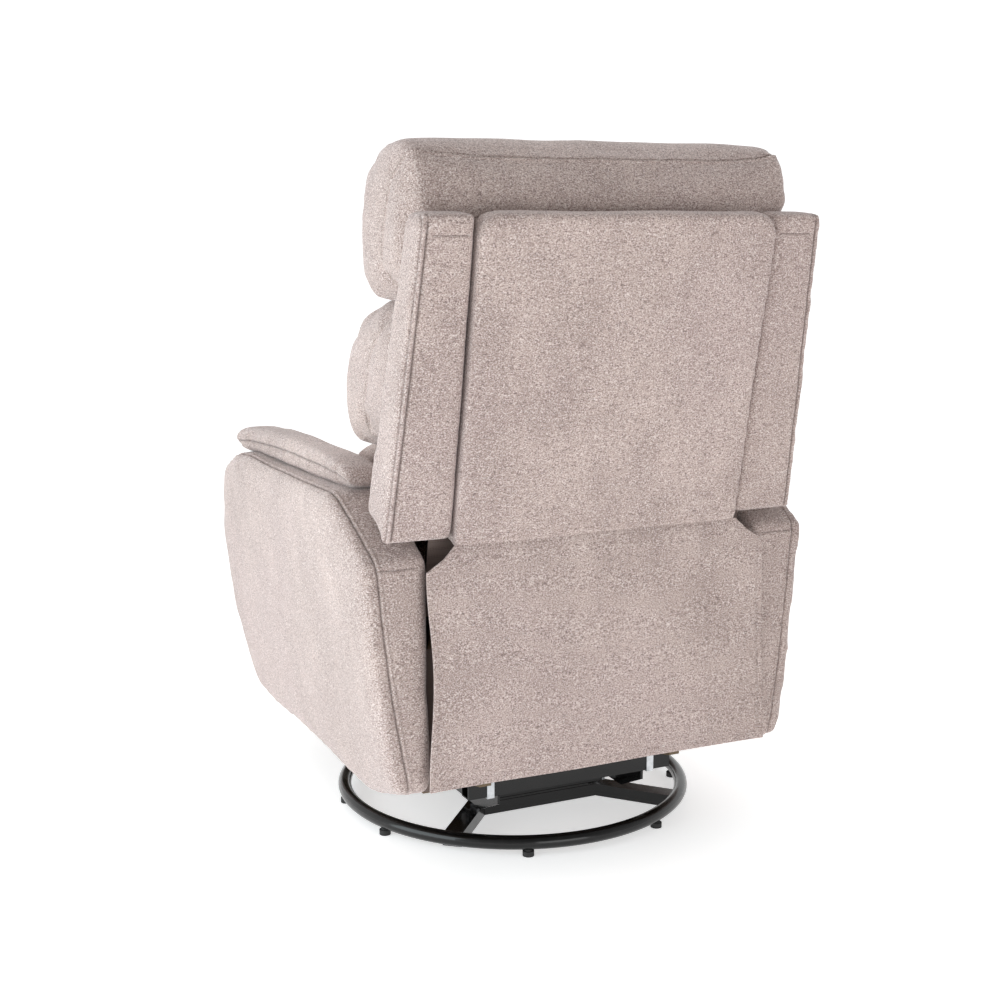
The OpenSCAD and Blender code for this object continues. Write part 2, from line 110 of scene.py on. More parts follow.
class Bench:
    """A node tree and the means to add nodes to it."""

    def __init__(self, tree: bpy.types.NodeTree) -> None:
        """Starts work on a tree."""
        self.tree = tree

    def node(self, kind: str, settings: Optional[dict] = None, **values: object) -> bpy.types.Node:
        """Adds a node.

        Args:
            kind: The node's type.
            settings: Attributes of the node, set first. The key "stops" fills a colour ramp.
            values: Values or links by socket name with underscores, or by place as in0, in1.

        Returns:
            The node.
        """
        made = self.tree.nodes.new(kind)
        for key, value in (settings or {}).items():
            if key == "stops":
                self._fill_ramp(made.color_ramp, value)
            else:
                setattr(made, key, value)
        for key, value in values.items():
            is_place = key.startswith("in") and key[2:].isdigit()
            socket = made.inputs[int(key[2:])] if is_place else made.inputs[key.replace("_", " ")]
            self.join(value, socket)
        return made

    @staticmethod
    def _fill_ramp(ramp: bpy.types.ColorRamp, stops: Sequence[tuple]) -> None:
        """Sets a ramp's stops from (place, colour) pairs."""
        while len(ramp.elements) < len(stops):
            ramp.elements.new(0.5)
        for element, (place, colour) in zip(ramp.elements, stops):
            element.position = place
            element.color = colour if len(colour) == 4 else (*colour, 1)

    def join(self, value: object, socket: bpy.types.NodeSocket) -> None:
        """Links a value to a socket, or sets it."""
        if isinstance(value, Signal):
            value = value.socket
        if isinstance(value, bpy.types.NodeSocket):
            self.tree.links.new(value, socket)
        else:
            socket.default_value = value

    def maths(self, operation: str, first: object, second: object = 0.0, clamp: bool = False) -> Signal:
        """Adds a Math node and returns its result."""
        settings = {"operation": operation, "use_clamp": clamp}
        made = self.node("ShaderNodeMath", settings, in0=first, in1=second)
        return Signal(self, made.outputs[0])

    def split(self, vector: bpy.types.NodeSocket) -> list:
        """Takes a vector apart into its X, Y and Z."""
        made = self.node("ShaderNodeSeparateXYZ", Vector=vector)
        return [Signal(self, socket) for socket in made.outputs]

    def clip(self, value: object) -> Signal:
        """Holds a value between 0 and 1."""
        return self.maths("ADD", value, 0.0, True)


class Paint(Bench):
    """One material and the nodes that make it."""

    def __init__(self, name: str, **constants: object) -> None:
        """Starts a material.

        Args:
            name: The material's name.
            constants: Principled sockets that hold one value all over, as words with underscores.
        """
        self.material = bpy.data.materials.new(name)
        self.material.use_nodes = True
        super().__init__(self.material.node_tree)
        self.shader = self.tree.nodes["Principled BSDF"]
        for word, value in constants.items():
            self.shader.inputs[word.replace("_", " ")].default_value = value
        self.place = self.node("ShaderNodeTexCoord").outputs["Object"]

    def stretched(self, scale: Sequence[float]) -> bpy.types.NodeSocket:
        """Object coordinates with each axis scaled."""
        return self.node("ShaderNodeMapping", Vector=self.place, Scale=scale).outputs[0]

    def noise(self, scale: float, place: Optional[object] = None, detail: float = 2.0,
              rough: float = 0.5) -> Signal:
        """Adds a Noise node and returns its 0 to 1 factor."""
        place = place or self.place
        made = self.node("ShaderNodeTexNoise", Vector=place, Scale=scale, Detail=detail, Roughness=rough)
        return Signal(self, made.outputs["Fac"])

    def band(self, value: Signal, low: float, high: float, to_low: float = 0.0,
             to_high: float = 1.0) -> Signal:
        """Maps a value's range to another range, smoothly and with its ends held."""
        settings = {"interpolation_type": "SMOOTHSTEP"}
        made = self.node("ShaderNodeMapRange", settings, in0=value, in1=low, in2=high, in3=to_low,
                         in4=to_high)
        return Signal(self, made.outputs[0])

    def mix(self, factor: object, first: object, second: object,
            how: str = "MIX") -> bpy.types.NodeSocket:
        """Mixes two colours."""
        settings = {"data_type": "RGBA", "blend_type": how}
        made = self.node("ShaderNodeMix", settings, in0=factor, in6=first, in7=second)
        return made.outputs[2]

    def attribute(self, name: str) -> Signal:
        """A number that the mesh carries."""
        made = self.node("ShaderNodeAttribute", {"attribute_name": name})
        return Signal(self, made.outputs["Fac"])

    def relief(self, height: Signal, distance: float, strength: float = 1.0) -> None:
        """Bumps the surface by a height."""
        made = self.node("ShaderNodeBump", Height=height, Distance=distance, Strength=strength)
        self.join(made.outputs[0], self.shader.inputs["Normal"])

    def drive(self, **links: object) -> None:
        """Links signals or colours to the shader's sockets."""
        for word, value in links.items():
            self.join(value, self.shader.inputs[word.replace("_", " ")])


def grey(value: float) -> tuple:
    """An opaque grey."""
    return (value, value, value, 1)


@dataclass(frozen=True)
class ChenillePlush:
    """Pinkish taupe short-pile chenille, heathered with light and dark flecks and a few weft slubs."""

    name: str = "chenille_plush"
    base: tuple = (0.555, 0.440, 0.400, 1)
    shade: tuple = (0.425, 0.330, 0.300, 1)
    rose: tuple = (0.500, 0.385, 0.368, 1)
    fleck_light: tuple = (0.86, 0.79, 0.765, 1)
    fleck_dark: tuple = (0.17, 0.125, 0.115, 1)
    seam_shadow: tuple = (0.13, 0.10, 0.09, 1)
    sheen: float = 0.45

    def make(self) -> bpy.types.Material:
        """Builds the plush material."""
        paint = Paint(
            self.name, Roughness=0.95, Sheen_Weight=self.sheen, Sheen_Roughness=0.4,
            Sheen_Tint=(0.95, 0.93, 0.95, 1), Specular_IOR_Level=0.2,
        )
        slub = paint.noise(170, paint.stretched((1.0, 1.0, 2.6)), 3.0, 0.6)
        fleck = paint.noise(430, paint.stretched((1.0, 1.0, 1.4)), 2.0, 0.7)
        tuft = paint.noise(760, None, 2.0, 0.7)
        nap = paint.noise(4.2, None, 4.0, 0.65)
        brushed = paint.noise(13.0, paint.stretched((1.0, 1.0, 0.45)), 3.0, 0.6)
        tone = paint.band(nap * 0.6 + brushed * 0.4, 0.38, 0.62)
        ground = paint.mix(tone, self.shade, self.base)
        blush = paint.band(paint.noise(2.6, None, 3.0), 0.42, 0.66, 0.0, 0.4)
        ground = paint.mix(blush, ground, self.rose)
        ground = paint.mix(paint.band(slub, 0.46, 0.32, 0.0, 0.60), ground, self.fleck_dark)
        ground = paint.mix(paint.band(slub, 0.58, 0.72, 0.0, 0.40), ground, self.fleck_light)
        ground = paint.mix(paint.band(fleck, 0.48, 0.35, 0.0, 0.82), ground, self.fleck_dark)
        ground = paint.mix(paint.band(fleck, 0.53, 0.66, 0.0, 0.74), ground, self.fleck_light)
        ground = paint.mix(paint.attribute("seam_shade") * 0.68, ground, self.seam_shadow)
        paint.drive(Base_Color=ground)
        paint.relief(slub * 0.3 + fleck * 0.45 + tuft * 0.35 + nap * 0.5 + brushed * 0.3, 0.0022, 0.85)
        return paint.material


@dataclass(frozen=True)
class GlossEnamel:
    """Gloss black enamel on steel, with a faint orange peel."""

    name: str = "gloss_black_enamel"

    def make(self) -> bpy.types.Material:
        """Builds the enamel material."""
        paint = Paint(self.name, Metallic=0.0, Coat_Roughness=0.05, Specular_IOR_Level=0.3)
        cloud = paint.noise(36, None, 4.0, 0.6)
        peel = paint.noise(420, None, 1.0, 0.4)
        colour = paint.mix(paint.band(cloud, 0.45, 0.8), grey(0.003), grey(0.008))
        paint.drive(Base_Color=colour, Roughness=paint.band(cloud, 0.3, 0.75, 0.14, 0.26),
                    Coat_Weight=0.25)
        paint.relief(peel, 0.0001, 0.3)
        return paint.material


@dataclass(frozen=True)
class ZincPlate:
    """Dull bright zinc on pressed steel, with cloudy crystals."""

    name: str = "zinc_plate"

    def make(self) -> bpy.types.Material:
        """Builds the zinc material."""
        paint = Paint(self.name, Metallic=0.9)
        cloud = paint.noise(60, None, 4.0, 0.6)
        drawn = paint.noise(700, paint.stretched((1, 1, 0.06)), 2.0)
        colour = paint.mix(paint.band(cloud, 0.35, 0.68), (0.50, 0.52, 0.54, 1), (0.72, 0.74, 0.76, 1))
        paint.drive(Base_Color=colour, Roughness=paint.band(cloud, 0.3, 0.7, 0.28, 0.46))
        paint.relief(drawn * 0.6 + cloud * 0.4, 0.00015, 0.5)
        return paint.material


@dataclass(frozen=True)
class BearingSteel:
    """Polished hard steel with faint handling marks."""

    name: str = "bearing_steel"

    def make(self) -> bpy.types.Material:
        """Builds the polished steel material."""
        paint = Paint(self.name, Metallic=1.0)
        marks = paint.noise(150, None, 3.0)
        colour = paint.mix(marks, grey(0.62), grey(0.8))
        paint.drive(Base_Color=colour, Roughness=paint.band(marks, 0.3, 0.7, 0.08, 0.2))
        return paint.material


@dataclass(frozen=True)
class SpringWire:
    """Grey drawn spring wire with a film of oil."""

    name: str = "spring_wire"

    def make(self) -> bpy.types.Material:
        """Builds the wire material."""
        paint = Paint(self.name, Metallic=0.85)
        film = paint.noise(220, None, 3.0)
        colour = paint.mix(film, (0.16, 0.165, 0.175, 1), (0.36, 0.37, 0.38, 1))
        paint.drive(Base_Color=colour, Roughness=paint.band(film, 0.3, 0.7, 0.3, 0.5))
        return paint.material


@dataclass(frozen=True)
class BirchPly:
    """Dark-stained birch ply, with long grain and a few pores."""

    name: str = "birch_ply"

    def make(self) -> bpy.types.Material:
        """Builds the timber material."""
        paint = Paint(self.name, Specular_IOR_Level=0.35)
        grain = paint.noise(26, paint.stretched((1.0, 0.12, 5.0)), 5.0, 0.6)
        pores = paint.noise(420, paint.stretched((1.0, 0.05, 1.0)), 2.0)
        streak = paint.band(grain, 0.3, 0.7)
        colour = paint.mix(streak, (0.118, 0.076, 0.039, 1), (0.190, 0.140, 0.087, 1))
        colour = paint.mix(paint.band(pores, 0.62, 0.75, 0.0, 0.6), colour, (0.056, 0.034, 0.017, 1))
        paint.drive(Base_Color=colour, Roughness=paint.band(grain, 0.3, 0.7, 0.5, 0.7))
        paint.relief(grain * 0.5 + pores * 0.5, 0.0004, 0.4)
        return paint.material


@dataclass(frozen=True)
class MouldedRubber:
    """Matt black rubber with a moulded grain."""

    name: str = "moulded_rubber"

    def make(self) -> bpy.types.Material:
        """Builds the rubber material."""
        paint = Paint(self.name, Specular_IOR_Level=0.4)
        grain = paint.noise(900, None, 2.0)
        colour = paint.mix(grain, grey(0.012), grey(0.035))
        paint.drive(Base_Color=colour, Roughness=paint.band(grain, 0.3, 0.7, 0.6, 0.85))
        paint.relief(grain, 0.0003, 0.6)
        return paint.material


@dataclass(frozen=True)
class WovenWebbing:
    """Elastic webbing with ribs across the strap."""

    name: str = "woven_webbing"

    def make(self) -> bpy.types.Material:
        """Builds the webbing material."""
        paint = Paint(self.name, Roughness=0.85)
        settings = {"wave_type": "BANDS", "bands_direction": "X"}
        wave = paint.node("ShaderNodeTexWave", settings, Vector=paint.place, Scale=160.0)
        rib = Signal(paint, wave.outputs["Fac"])
        fuzz = paint.noise(600, None, 2.0)
        colour = paint.mix(rib * 0.6 + fuzz * 0.4, (0.05, 0.045, 0.04, 1), (0.22, 0.2, 0.17, 1))
        paint.drive(Base_Color=colour)
        paint.relief(rib * 0.7 + fuzz * 0.3, 0.0006, 0.7)
        return paint.material


@dataclass(frozen=True)
class CambricAndPaintedShade:
    """Thin dark taupe spun-bonded lining cloth with a pressed dot grid, whose dark colour is also
    painted shade for the gaps behind the arms and wings.
    """

    name: str = "taupe_cambric"

    def make(self) -> bpy.types.Material:
        """Builds the lining material."""
        paint = Paint(self.name, Roughness=0.95, Specular_IOR_Level=0.1)
        cells = paint.node("ShaderNodeTexVoronoi", {"feature": "F1"}, Vector=paint.place, Scale=420.0,
                           Randomness=0.15)
        dots = Signal(paint, cells.outputs["Distance"])
        # Painted shade: a dark taupe chosen to look like the shade in the gaps, on a real lining cloth
        # with its dot grid.
        colour = paint.mix(paint.band(dots, 0.15, 0.45), (0.12, 0.09, 0.08, 1), (0.18, 0.14, 0.125, 1))
        paint.drive(Base_Color=colour)
        paint.relief(dots, 0.0003, 0.5)
        return paint.material


@dataclass(frozen=True)
class SewingThread:
    """Twisted taupe sewing thread."""

    name: str = "sewing_thread"

    def make(self) -> bpy.types.Material:
        """Builds the thread material."""
        paint = Paint(self.name, Roughness=0.6, Sheen_Weight=0.2)
        twist = paint.noise(1500, None, 1.0)
        paint.drive(Base_Color=paint.mix(twist, (0.36, 0.29, 0.26, 1), (0.60, 0.52, 0.47, 1)))
        paint.relief(twist, 0.0002, 0.5)
        return paint.material


@dataclass(frozen=True)
class PaleFloor:
    """White studio floor."""

    name: str = "pale_floor"

    def make(self) -> bpy.types.Material:
        """Builds the floor material."""
        paint = Paint(self.name, Roughness=0.55, Specular_IOR_Level=0.3, Emission_Color=grey(1.0),
                      Emission_Strength=0.55)
        cloud = paint.noise(1.5, None, 2.0)
        paint.drive(Base_Color=paint.mix(cloud, grey(0.86), grey(0.88)))
        return paint.material


class Finish(Enum):
    """The finishes of the chair's pieces."""

    PLUSH = ChenillePlush()
    ENAMEL = GlossEnamel()
    ZINC = ZincPlate()
    BALLS = BearingSteel()
    WIRE = SpringWire()
    PLY = BirchPly()
    RUBBER = MouldedRubber()
    WEBBING = WovenWebbing()
    LINING_AND_SHADE = CambricAndPaintedShade()
    THREAD = SewingThread()
    FLOOR = PaleFloor()

    @property
    def material(self) -> bpy.types.Material:
        """The finish's material, made the first time that it's asked for."""
        return bpy.data.materials.get(self.value.name) or self.value.make()


SLOT_FINISH = {
    "plush_fabric": Finish.PLUSH,
    "webbing": Finish.WEBBING,
    "black_steel": Finish.ENAMEL,
    "zinc": Finish.ZINC,
    "ball_steel": Finish.BALLS,
    "spring_wire": Finish.WIRE,
    "timber": Finish.PLY,
    "rubber": Finish.RUBBER,
}


def paint_all(piece: bpy.types.Object, finish: Finish) -> None:
    """Gives a piece one material all over."""
    piece.data.materials.clear()
    piece.data.materials.append(finish.material)


# ---------------------------------------------------------------- mesh handling


def choose_only(piece: bpy.types.Object) -> None:
    """Deselects everything and makes one object active and selected."""
    if bpy.context.mode != "OBJECT":
        bpy.ops.object.mode_set(mode="OBJECT")
    bpy.ops.object.select_all(action="DESELECT")
    piece.select_set(True)
    bpy.context.view_layer.objects.active = piece


def coords(piece: bpy.types.Object) -> np.ndarray:
    """The piece's vertices as an array with three columns."""
    flat = np.empty(len(piece.data.vertices) * 3, np.float32)
    piece.data.vertices.foreach_get("co", flat)
    return flat.reshape(-1, 3).astype(float)


def set_coords(piece: bpy.types.Object, places: np.ndarray) -> None:
    """Moves the piece's vertices."""
    piece.data.vertices.foreach_set("co", places.astype(np.float32).ravel())
    piece.data.update()


def normals(piece: bpy.types.Object) -> np.ndarray:
    """The piece's vertex normals as an array with three columns."""
    flat = np.empty(len(piece.data.vertices) * 3, np.float32)
    piece.data.vertices.foreach_get("normal", flat)
    return flat.reshape(-1, 3).astype(float)


def apply_modifier(piece: bpy.types.Object, kind: str, **settings: object) -> None:
    """Adds a modifier, sets it and applies it."""
    choose_only(piece)
    made = piece.modifiers.new(kind.title(), kind)
    for key, value in settings.items():
        setattr(made, key, value)
    bpy.ops.object.modifier_apply(modifier=made.name)


def copy_of_node(node: str, name: str) -> bpy.types.Object:
    """Copies a CAD node's mesh into a new object, with its doubles merged.

    Args:
        node: The CAD node.
        name: The new piece's name.

    Returns:
        The new object.
    """
    mesh = frame["nodes"][node].data.copy()
    piece = bpy.data.objects.new(name, mesh)
    bpy.context.scene.collection.objects.link(piece)
    mesh.materials.clear()
    if mesh.has_custom_normals:
        choose_only(piece)
        bpy.ops.mesh.customdata_custom_splitnormals_clear()
    choose_only(piece)
    bpy.ops.object.mode_set(mode="EDIT")
    bpy.ops.mesh.select_all(action="SELECT")
    bpy.ops.mesh.remove_doubles(threshold=1e-5)
    bpy.ops.mesh.normals_make_consistent(inside=False)
    bpy.ops.object.mode_set(mode="OBJECT")
    return piece


def keep_outer_shell(piece: bpy.types.Object) -> None:
    """Deletes loose inner shells, such as a sealed pocket's walls, and keeps the largest."""
    choose_only(piece)
    bpy.ops.mesh.separate(type="LOOSE")
    parts = [o for o in bpy.context.selected_objects if o.type == "MESH"]
    if len(parts) == 1:
        return
    sizes = {o.name: float(np.prod(np.ptp(coords(o), axis=0))) for o in parts}
    biggest = max(sizes, key=sizes.get)
    mesh = bpy.data.objects[biggest].data
    name = piece.name
    if biggest != name:
        piece.data, bpy.data.objects[biggest].data = mesh, piece.data
    for other in parts:
        if other != piece:
            bpy.data.objects.remove(other)


def mirrored(piece: bpy.types.Object, name: str) -> bpy.types.Object:
    """Copies a piece to the other side of the chair, with its faces turned outward again."""
    other = bpy.data.objects.new(name, piece.data.copy())
    bpy.context.scene.collection.objects.link(other)
    other.data.transform(Matrix.Scale(-1, 4, (1, 0, 0)))
    other.data.flip_normals()
    return other


def smooth_shade(piece: bpy.types.Object, angle: float = 180.0) -> None:
    """Shades a piece smooth, but for edges sharper than an angle in degrees."""
    choose_only(piece)
    if angle >= 180:
        bpy.ops.object.shade_smooth()
    else:
        bpy.ops.object.shade_smooth_by_angle(angle=math.radians(angle))


def undulation(places: np.ndarray, scale: float, seed: float) -> np.ndarray:
    """A smooth field between about -1 and 1, from a few sine waves that cross.

    Args:
        places: Points, three columns.
        scale: Length of the waves in metres.
        seed: Shifts the waves, so that pieces differ.

    Returns:
        One value for each point.
    """
    total = np.zeros(len(places))
    for k in range(5):
        angle = seed * 1.7 + k * 2.399
        tilt = math.sin(seed * 3.1 + k * 1.3) * 0.8
        way = np.array([math.cos(angle), math.sin(angle), tilt])
        wave = scale * (0.7 + 0.22 * k)
        total += np.sin(places @ way * (2 * math.pi / wave) + seed * 5.3 + k * 1.9)
    return total / 3.2


# ---------------------------------------------------------------- sewing


@dataclass(frozen=True)
class SeamStyle:
    """How deep and wide a seam lies in the cloth, in metres."""

    groove: float = 0.0024
    groove_width: float = 0.0017
    ridge: float = 0.0017
    ridge_offset: float = 0.0042
    ridge_width: float = 0.0026
    pull: float = 0.0022
    pull_width: float = 0.014
    pucker: float = 0.22
    pucker_length: float = 0.041
    second_groove: float = 0.0
    second_offset: float = 0.0088
    shade_width: float = 0.0015


LAPPED = SeamStyle()
TWIN = SeamStyle(second_groove=0.0012, ridge=0.0015, pull=0.0012)
HEM = SeamStyle(groove=0.0008, ridge=0.0005, pull=0.0004, second_groove=0.0, shade_width=0.0009)


def resample(points: Sequence[Sequence[float]], step: float, closed: bool = False) -> np.ndarray:
    """Spaces points evenly along a smooth curve through the given ones.

    Args:
        points: Points that the curve passes through.
        step: Spacing in metres.
        closed: Whether the curve returns to its start.

    Returns:
        The new points, three columns.
    """
    given = np.array(points, float)
    count = len(given)
    span = count if closed else count - 1
    fine = []
    for i in range(span):
        pick = [(i + k) % count if closed else min(max(i + k, 0), count - 1) for k in (-1, 0, 1, 2)]
        before, start, end, after = given[pick]
        square = 2 * before - 5 * start + 4 * end - after
        cube = 3 * start - before - 3 * end + after
        for t in np.linspace(0, 1, 24, endpoint=False):
            fine.append(0.5 * (2 * start + (end - before) * t + square * t * t + cube * t ** 3))
    fine.append(given[0] if closed else given[-1])
    fine = np.array(fine)
    length = np.concatenate([[0], np.cumsum(np.linalg.norm(np.diff(fine, axis=0), axis=1))])
    places = np.linspace(0, length[-1], max(4, int(length[-1] / step)) + 1)
    return np.stack([np.interp(places, length, fine[:, k]) for k in range(3)], axis=1)


@dataclass
class Thread:
    """A seam's line on a surface, with its direction, its outward normal and its sideways direction."""

    points: np.ndarray
    normals: np.ndarray
    closed: bool = False

    @property
    def along(self) -> np.ndarray:
        """Unit directions along the line."""
        step = np.gradient(self.points, axis=0)
        return step / np.maximum(np.linalg.norm(step, axis=1, keepdims=True), 1e-9)

    @property
    def across(self) -> np.ndarray:
        """Unit directions sideways on the surface."""
        side = np.cross(self.along, self.normals)
        return side / np.maximum(np.linalg.norm(side, axis=1, keepdims=True), 1e-9)


def lay_thread(piece: bpy.types.Object, points: Sequence[Sequence[float]],
               closed: bool = False) -> Thread:
    """Lays a line on a piece's surface.

    Args:
        piece: The mesh that the line lies on.
        points: Points near the surface.
        closed: Whether the line returns to its start.

    Returns:
        The line on the surface, evenly spaced.
    """
    tree = BVHTree.FromObject(piece, bpy.context.evaluated_depsgraph_get())
    line = resample(points, 0.004, closed)
    for _ in range(2):
        landed = [tree.find_nearest(Vector(p)) for p in line]
        line = np.array([hit[0] for hit in landed])
        facing = np.array([hit[1] for hit in landed])
        kernel = np.ones(5) / 5
        padded = np.pad(line, ((2, 2), (0, 0)), mode="edge")
        line = np.stack([np.convolve(padded[:, k], kernel, "valid") for k in range(3)], axis=1)
    facing_pad = np.pad(facing, ((4, 4), (0, 0)), mode="edge")
    facing = np.stack([np.convolve(facing_pad[:, k], np.ones(9) / 9, "valid") for k in range(3)], axis=1)
    facing /= np.maximum(np.linalg.norm(facing, axis=1, keepdims=True), 1e-9)
    return Thread(line, facing, closed)


def nearest(places: np.ndarray, line: np.ndarray) -> tuple:
    """Finds the nearest point of a line for each place.

    Args:
        places: Points, three columns.
        line: The line's points, three columns.

    Returns:
        The index of the nearest line point and the distance to it, for each place.
    """
    index = np.zeros(len(places), int)
    far = np.zeros(len(places))
    lengths = (line ** 2).sum(1)
    for start in range(0, len(places), 8192):
        part = places[start:start + 8192]
        square = (part ** 2).sum(1)[:, None] + lengths[None, :] - 2 * part @ line.T
        pick = square.argmin(1)
        index[start:start + 8192] = pick
        far[start:start + 8192] = np.linalg.norm(part - line[pick], axis=1)
    return index, far


def refine_near(piece: bpy.types.Object, thread: Thread, reach: float, rounds: int) -> None:
    """Subdivides the faces near a line."""
    for turn in range(rounds):
        choose_only(piece)
        mesh = piece.data
        flat = np.empty(len(mesh.polygons) * 3, np.float32)
        mesh.polygons.foreach_get("center", flat)
        _, far = nearest(flat.reshape(-1, 3).astype(float), thread.points)
        mesh.polygons.foreach_set("select", far < reach * (1 - 0.3 * turn))
        mesh.edges.foreach_set("select", np.zeros(len(mesh.edges), bool))
        mesh.vertices.foreach_set("select", np.zeros(len(mesh.vertices), bool))
        bpy.ops.object.mode_set(mode="EDIT")
        bpy.ops.mesh.select_mode(type="FACE")
        bpy.ops.mesh.subdivide(number_cuts=1, smoothness=0)
        bpy.ops.object.mode_set(mode="OBJECT")


def bump(distance: np.ndarray, width: float) -> np.ndarray:
    """A bell curve that is 1 at no distance."""
    return np.exp(-(distance / width) ** 2)


def sew(piece: bpy.types.Object, thread: Thread, style: SeamStyle, flip: bool = False,
        rounds: int = 2) -> None:
    """Sinks a seam into a piece: a groove, a ridge beside it, and the cloth's pull and pucker around it.

    Args:
        piece: The mesh to sew.
        thread: The seam's line on the mesh.
        style: The seam's section.
        flip: Puts the ridge on the other side of the groove.
        rounds: How many times the faces near the seam are halved first.
    """
    refine_near(piece, thread, 0.016, rounds)
    places = coords(piece)
    index, far = nearest(places, thread.points)
    last = len(thread.points) - 1
    chosen = np.where(far < style.pull_width * 2.6)[0]
    index = index[chosen]
    gap = places[chosen] - thread.points[index]
    along = thread.along[index]
    ahead = (gap * along).sum(1)
    aside = gap - along * ahead[:, None]
    across = thread.across[index] * (-1 if flip else 1)
    lateral = np.linalg.norm(aside, axis=1) * np.where((aside * across).sum(1) >= 0, 1, -1)
    fade = np.ones(len(chosen))
    if not thread.closed:
        beyond = np.where(index == last, ahead, np.where(index == 0, -ahead, 0))
        fade = bump(np.maximum(beyond, 0), 0.006)
    turn = index * 0.004 * 2 * math.pi / style.pucker_length
    pucker = 1 + style.pucker * (np.sin(turn) + 0.6 * np.sin(turn / 0.61 + 1.3))
    rise = style.ridge * bump(lateral - style.ridge_offset, style.ridge_width)
    rise -= style.groove * bump(lateral, style.groove_width)
    rise -= style.second_groove * bump(lateral - style.second_offset, style.groove_width)
    rise -= style.pull * pucker * bump(lateral, style.pull_width)
    places[chosen] += normals(piece)[chosen] * (rise * fade)[:, None]
    set_coords(piece, places)
    dark = bump(lateral, style.shade_width)
    if style.second_groove:
        dark = np.maximum(dark, 0.7 * bump(lateral - style.second_offset, style.shade_width))
    shade = np.zeros(len(places), np.float32)
    if piece.data.attributes.get("seam_shade"):
        piece.data.attributes["seam_shade"].data.foreach_get("value", shade)
    else:
        piece.data.attributes.new("seam_shade", "FLOAT", "POINT")
    shade[chosen] = np.maximum(shade[chosen], dark * fade)
    piece.data.attributes["seam_shade"].data.foreach_set("value", shade)


def stitch_row(name: str, thread: Thread, offset: float, pitch: float = 0.0065,
               lift: float = 0.0004) -> bpy.types.Object:
    """Makes a row of topstitches beside a seam.

    Args:
        name: The row's name.
        thread: The seam's line.
        offset: How far to the side the row lies.
        pitch: Distance from stitch to stitch.
        lift: Height of the row above the line.

    Returns:
        One mesh of all the stitches.
    """
    bpy.ops.object.select_all(action="DESELECT")
    bpy.ops.mesh.primitive_cylinder_add(vertices=6, radius=0.00055, depth=pitch * 0.62)
    one = bpy.context.object
    bpy.ops.object.mode_set(mode="EDIT")
    bpy.ops.mesh.select_all(action="SELECT")
    bpy.ops.mesh.bevel(offset=0.0002, segments=1)
    bpy.ops.object.mode_set(mode="OBJECT")
    shape = coords(one)
    faces = [list(p.vertices) for p in one.data.polygons]
    bpy.data.objects.remove(one)
    skip = max(1, int(round(pitch / 0.004)))
    verts, polys = [], []
    for i in range(1, len(thread.points) - 1, skip):
        along, up = thread.along[i], thread.normals[i]
        side = np.cross(along, up)
        turn = np.stack([side, up, along], axis=1)
        centre = thread.points[i] + thread.across[i] * offset + up * lift
        polys += [[k + len(verts) for k in f] for f in faces]
        verts += list(shape @ turn.T + centre)
    mesh = bpy.data.meshes.new(name)
    mesh.from_pydata([tuple(v) for v in verts], [], polys)
    row = bpy.data.objects.new(name, mesh)
    bpy.context.scene.collection.objects.link(row)
    paint_all(row, Finish.THREAD)
    return row


# ---------------------------------------------------------------- padded pieces


